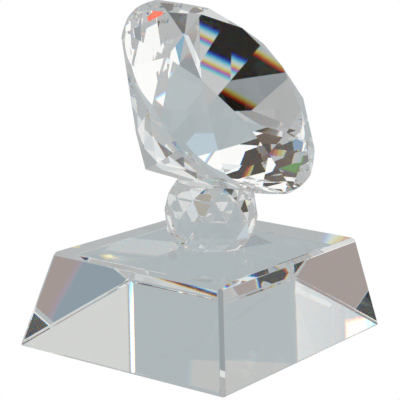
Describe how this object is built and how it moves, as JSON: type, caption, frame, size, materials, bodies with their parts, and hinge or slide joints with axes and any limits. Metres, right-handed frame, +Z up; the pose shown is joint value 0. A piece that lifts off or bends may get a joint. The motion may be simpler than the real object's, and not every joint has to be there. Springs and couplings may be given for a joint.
{
  "type": "crystal award",
  "caption": "Clear crystal award: a tilted brilliant-cut diamond resting by one facet on a small faceted ball, which stands on a slant-sided rectangular block.",
  "frame": {"origin": "middle of the base block's underside", "axes": "+Z up; +X along the base block's long side; the diamond's table leans towards -Y, the front"},
  "size_m": [0.1018, 0.0808, 0.1124],
  "materials": {
    "base_crystal": "clear optical crystal, ground and polished flat",
    "ball_crystal": "clear optical crystal with polished facets",
    "diamond_crystal": "clear optical crystal with polished facets",
    "clear_adhesive": "clear cured acrylic adhesive"
  },
  "bodies": {
    "root": {"base_block": "base_crystal", "lower_bond": "clear_adhesive", "faceted_ball": "ball_crystal", "upper_bond": "clear_adhesive", "diamond": "diamond_crystal"}
  },
  "joints": []
}
